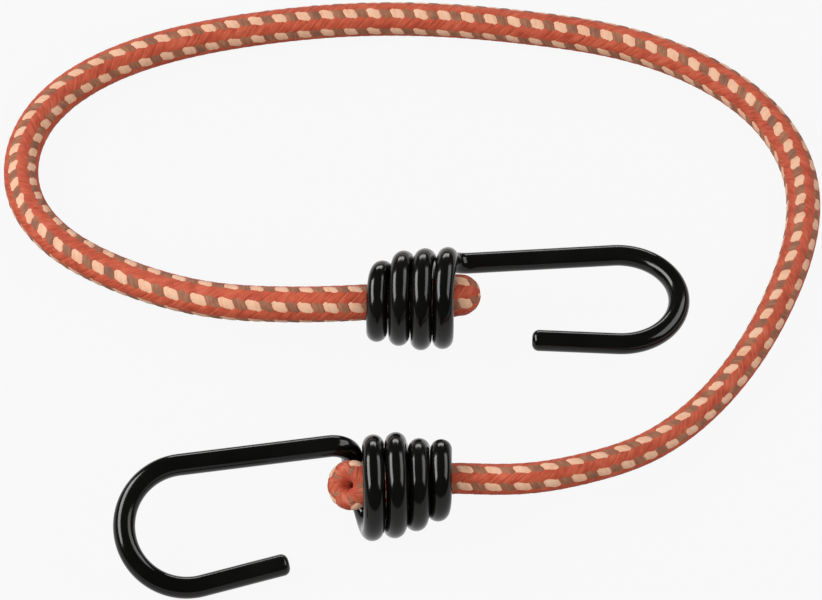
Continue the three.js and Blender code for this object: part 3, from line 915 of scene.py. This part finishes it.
def hook_line(turns, skew, skew_side):
    """The wire's middle line in the hook's frame, and a direction across the wire at each of its points.

    A coil whose radius eases from the small end to the large one and whose turns are pushed along the axis by
    the skew on one side, a bend out of the coil, the shank, a round bend of a little more than half a turn
    and the tip. The direction points out of the coil, stays the same on the shank and turns with the bend.
    """
    climb = np.arctan2(COIL_PITCH, 2 * np.pi * COIL_LARGE)
    leave = np.sqrt(SHANK_OFFSET**2 - COIL_LARGE**2)
    last_angle = -np.arctan2(leave, COIL_LARGE)
    turn_radius = leave / (1 - np.sin(climb))
    back = np.linspace(turns, 0, COIL_SAMPLES)
    angle = last_angle - 2 * np.pi * back
    radius = COIL_LARGE + (COIL_SMALL - COIL_LARGE) * smooth_step(back, TAPER_START, TAPER_END)
    outward = np.stack([np.zeros_like(angle), np.cos(angle), -np.sin(angle)], axis=1)
    coil = radius[:, None] * outward
    coil[:, 0] = smooth_step(back, 0, SKEW_FADE) * skew * np.cos(angle - skew_side) - COIL_PITCH * back
    lead = np.array([0.0, -np.sin(last_angle), -np.cos(last_angle)])
    angle = np.linspace(climb, np.pi / 2, TURN_OUT_SAMPLES)[1:]
    turn_out = coil[-1] + lead * (turn_radius * (np.sin(angle) - np.sin(climb)))[:, None]
    turn_out[:, 0] += turn_radius * (np.cos(climb) - np.cos(angle))
    shank = np.zeros((SHANK_SAMPLES, 3))
    shank[:, 0] = np.linspace(turn_out[-1, 0], HOOK_LENGTH, SHANK_SAMPLES + 1)[1:]
    shank[:, 1] = SHANK_OFFSET
    bent = np.linspace(0, np.pi + TIP_ANGLE, BEND_SAMPLES)[1:]
    middle = np.array([HOOK_LENGTH, SHANK_OFFSET - BEND_RADIUS, 0.0])
    bend = middle + BEND_RADIUS * np.stack([np.sin(bent), np.cos(bent), np.zeros_like(bent)], axis=1)
    tip_way = np.array([-np.cos(TIP_ANGLE), np.sin(TIP_ANGLE), 0.0])
    tip = bend[-1] + np.linspace(0, TIP_LENGTH, TIP_SAMPLES)[1:, None] * tip_way
    points = np.concatenate([coil, turn_out, shank, bend, tip])
    kept = outward[-1]
    turned = np.concatenate([np.zeros(len(turn_out) + len(shank)), bent, np.full(len(tip), bent[-1])])
    carried = np.outer(np.ones_like(turned), kept)
    carried[:, 0] = kept[1] * np.sin(turned)
    carried[:, 1] = kept[1] * np.cos(turned)
    return points, np.concatenate([outward, carried])


def place_hook(points, place, yaw, lean, half_turn):
    """From the hook's frame to the part's: half a turn about y, a lean about x, a turn about z, a shift."""
    flip = np.diag([-1.0, 1.0, -1.0]) if half_turn else np.eye(3)
    about_x = np.array([[1, 0, 0], [0, np.cos(lean), -np.sin(lean)], [0, np.sin(lean), np.cos(lean)]])
    about_z = np.array([[np.cos(yaw), -np.sin(yaw), 0], [np.sin(yaw), np.cos(yaw), 0], [0, 0, 1]])
    return points @ (about_z @ about_x @ flip).T + place


class BUNGEE_OT_hooks(bpy.types.Operator):
    """Bend the two coated wire hooks"""

    bl_idname = "bungee.hooks"
    bl_label = "Hooks"

    def execute(self, context):
        material = coating_material("black_coating", settings().coating)
        line_a = hook_line(HOOK_A_TURNS, HOOK_A_SKEW, HOOK_A_SKEW_SIDE)
        line_b = hook_line(HOOK_B_TURNS, HOOK_B_SKEW, HOOK_B_SKEW_SIDE)
        place_a = (HOOK_A_PLACE, HOOK_A_YAW, 0.0, False)
        place_b = (HOOK_B_PLACE, HOOK_B_YAW, HOOK_B_LEAN, True)
        self.add_hook("hook_a", "wire_hook_a", material, line_a, place_a)
        self.add_hook("hook_b", "wire_hook_b", material, line_b, place_b)
        return {"FINISHED"}

    def add_hook(self, body, node, material, line, where):
        """One hook: a round wire with rounded cut ends along its line, not lower than the floor."""
        radius = settings().wire_diameter / 2
        points, side = line
        run = run_of(points)
        eased = WIRE_EDGE * (1 - np.cos(np.linspace(0, np.pi / 2, WIRE_EDGE_STEPS)))
        even = np.linspace(WIRE_EDGE, run[-1] - WIRE_EDGE, int(run[-1] / WIRE_STEP))[1:-1]
        wanted = np.concatenate([eased, even, run[-1] - eased[::-1]])
        from_end = np.minimum(np.minimum(wanted, run[-1] - wanted), WIRE_EDGE)
        ring_radius = radius - WIRE_EDGE + np.sqrt(WIRE_EDGE**2 - (WIRE_EDGE - from_end) ** 2)
        along = unit(columns(wanted, run, np.gradient(points, run, axis=0)))
        across = columns(wanted, run, side)
        across = unit(across - along * np.sum(across * along, axis=1, keepdims=True))
        centre = columns(wanted, run, points)
        tube = round_tube(centre, across, np.cross(along, across), ring_radius, WIRE_SIDES)
        tube = place_hook(tube, *where)
        tube[..., 2] = np.maximum(tube[..., 2], 0)
        piece = tube_mesh(body + "_wire", tube, wanted[None])
        dress(piece, material)
        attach(piece, body)
        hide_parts(node)


class BUNGEE_OT_clips(bpy.types.Operator):
    """Give the clips inside the coils their plated finish"""

    bl_idname = "bungee.clips"
    bl_label = "Clips"

    def execute(self, context):
        material = zinc_material("zinc", settings().zinc)
        for node in ("cord_clip_a", "cord_clip_b"):
            dress(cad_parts[node], material)
        return {"FINISHED"}


class BUNGEE_PT_panel(bpy.types.Panel):
    """Sizes, colours and the steps that build the bungee cord"""

    bl_idname = "BUNGEE_PT_panel"
    bl_label = "Bungee cord"
    bl_space_type = "VIEW_3D"
    bl_region_type = "UI"
    bl_category = "Bungee cord"

    def draw(self, context):
        column = self.layout.column()
        for name in BungeeSettings.__annotations__:
            column.prop(context.scene.bungee_settings, name)
        for operator in OPERATORS:
            column.operator(operator.bl_idname)


OPERATORS = (
    BUNGEE_OT_stage,
    BUNGEE_OT_core,
    BUNGEE_OT_rosette,
    BUNGEE_OT_braid,
    BUNGEE_OT_hooks,
    BUNGEE_OT_clips,
)
CLASSES = (BungeeSettings, *OPERATORS, BUNGEE_PT_panel)


def register():
    """Make the classes and the settings known."""
    for each in CLASSES:
        bpy.utils.register_class(each)
    bpy.types.Scene.bungee_settings = bpy.props.PointerProperty(type=BungeeSettings)


def unregister():
    """Take the settings and the classes away again."""
    del bpy.types.Scene.bungee_settings
    for each in reversed(CLASSES):
        bpy.utils.unregister_class(each)


def main():
    """Build the part step by step."""
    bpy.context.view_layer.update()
    bpy.context.scene.view_settings.view_transform = "Standard"
    register()
    bpy.ops.bungee.stage()
    bpy.ops.bungee.core()
    bpy.ops.bungee.rosette()
    bpy.ops.bungee.braid()
    bpy.ops.bungee.hooks()
    bpy.ops.bungee.clips()
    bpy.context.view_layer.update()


if __name__ == "__main__":
    main()
